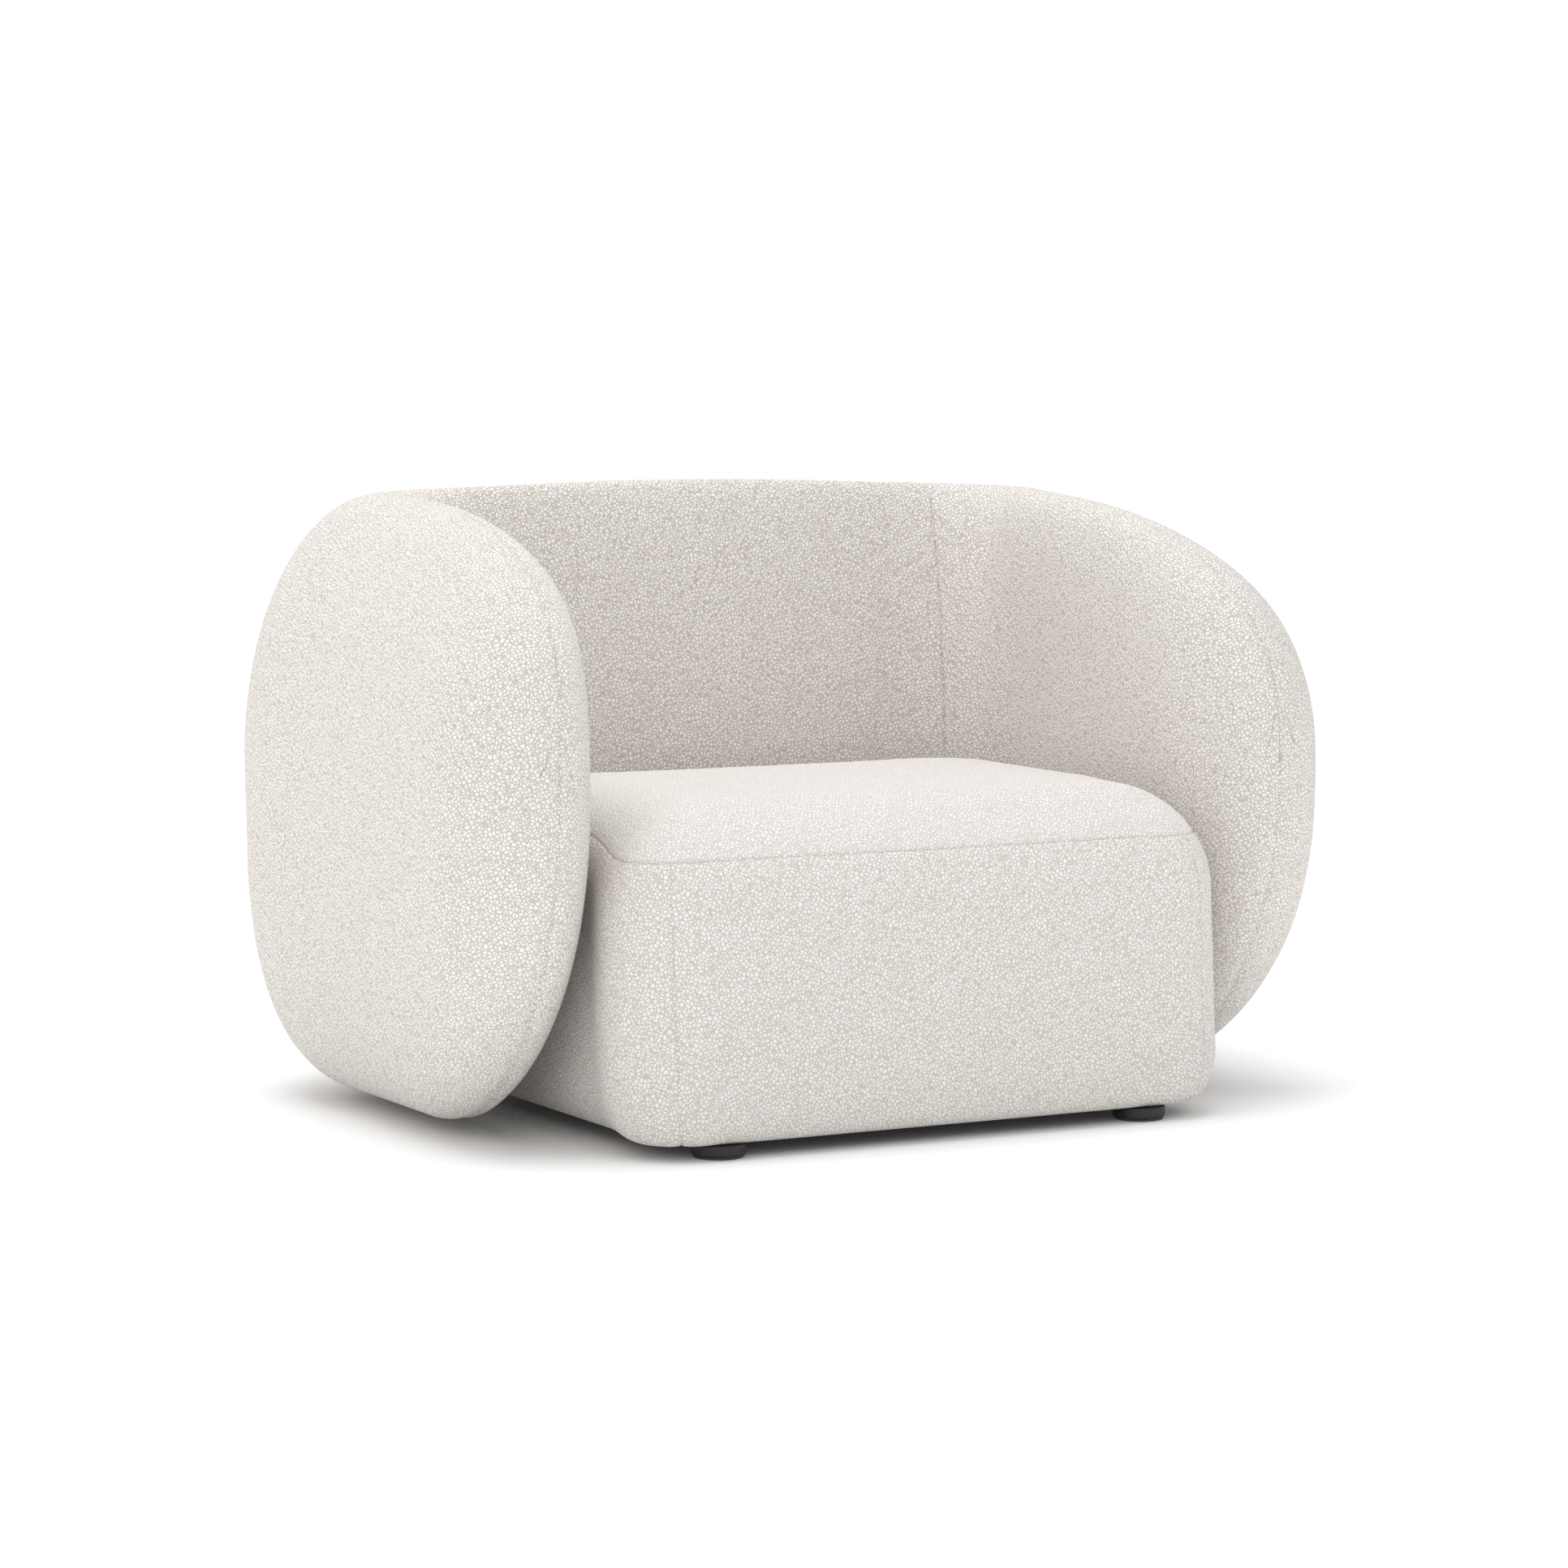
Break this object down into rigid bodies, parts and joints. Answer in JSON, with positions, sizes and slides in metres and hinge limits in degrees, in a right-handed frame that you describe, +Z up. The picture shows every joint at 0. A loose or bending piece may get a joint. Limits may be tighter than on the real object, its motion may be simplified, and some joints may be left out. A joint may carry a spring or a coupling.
{
  "type": "upholstered armchair",
  "caption": "Low upholstered armchair: a thick rounded one-piece arm-and-back shell wraps a rounded seat block on short round feet.",
  "frame": {"origin": "on the floor under the centre of the chair's footprint box", "axes": "+Z up, -Y is the front of the chair, +X to the right of a person facing the chair's front"},
  "size_m": [1.1618, 0.854, 0.7278],
  "materials": {
    "boucle_fabric": "nubbly off-white boucle, matt",
    "foam": "open-cell upholstery foam, matt",
    "fibre_layer": "soft fibre wadding",
    "frame_wood": "planed, unfinished",
    "webbing": "elastic webbing",
    "lining": "thin non-woven lining",
    "foot_black": "fine-grained black",
    "glide_felt": "dense felt",
    "zinc_steel": "zinc plated"
  },
  "bodies": {
    "root": {"arm_cover_inner_left": "boucle_fabric", "arm_cover_inner_right": "boucle_fabric", "arm_cover_outer_left": "boucle_fabric", "arm_cover_outer_right": "boucle_fabric", "arm_foam_left": "foam", "arm_foam_right": "foam", "back_cover": "boucle_fabric", "back_foam": "foam", "corner_block_front_left": "frame_wood", "corner_block_front_right": "frame_wood", "corner_block_rear_left": "frame_wood", "corner_block_rear_right": "frame_wood", "foot_front_left": "foot_black", "foot_front_right": "foot_black", "foot_glide_front_left": "glide_felt", "foot_glide_front_right": "glide_felt", "foot_glide_rear_left": "glide_felt", "foot_glide_rear_right": "glide_felt", "foot_rear_left": "foot_black", "foot_rear_right": "foot_black", "foot_stud_front_left": "zinc_steel", "foot_stud_front_right": "zinc_steel", "foot_stud_rear_left": "zinc_steel", "foot_stud_rear_right": "zinc_steel", "joining_bolt_rear_left": "zinc_steel", "joining_bolt_rear_right": "zinc_steel", "joining_bolt_side_left": "zinc_steel", "joining_bolt_side_right": "zinc_steel", "seat_cover_front": "boucle_fabric", "seat_cover_left": "boucle_fabric", "seat_cover_rear": "boucle_fabric", "seat_cover_right": "boucle_fabric", "seat_cover_top": "boucle_fabric", "seat_dust_lining": "lining", "seat_foam_core": "foam", "seat_rail_front": "frame_wood", "seat_rail_left": "frame_wood", "seat_rail_middle": "frame_wood", "seat_rail_rear": "frame_wood", "seat_rail_right": "frame_wood", "seat_soft_layer": "fibre_layer", "shell_post_corner_left": "frame_wood", "shell_post_corner_right": "frame_wood", "shell_post_front_left": "frame_wood", "shell_post_front_right": "frame_wood", "shell_rail_low_back": "frame_wood", "shell_rail_low_left": "frame_wood", "shell_rail_low_right": "frame_wood", "shell_rail_top_back": "frame_wood", "shell_rail_top_left": "frame_wood", "shell_rail_top_right": "frame_wood", "web_across_1": "webbing", "web_across_2": "webbing", "web_across_3": "webbing", "web_along_1": "webbing", "web_along_2": "webbing", "web_along_3": "webbing", "web_along_4": "webbing", "web_along_5": "webbing"}
  },
  "joints": []
}
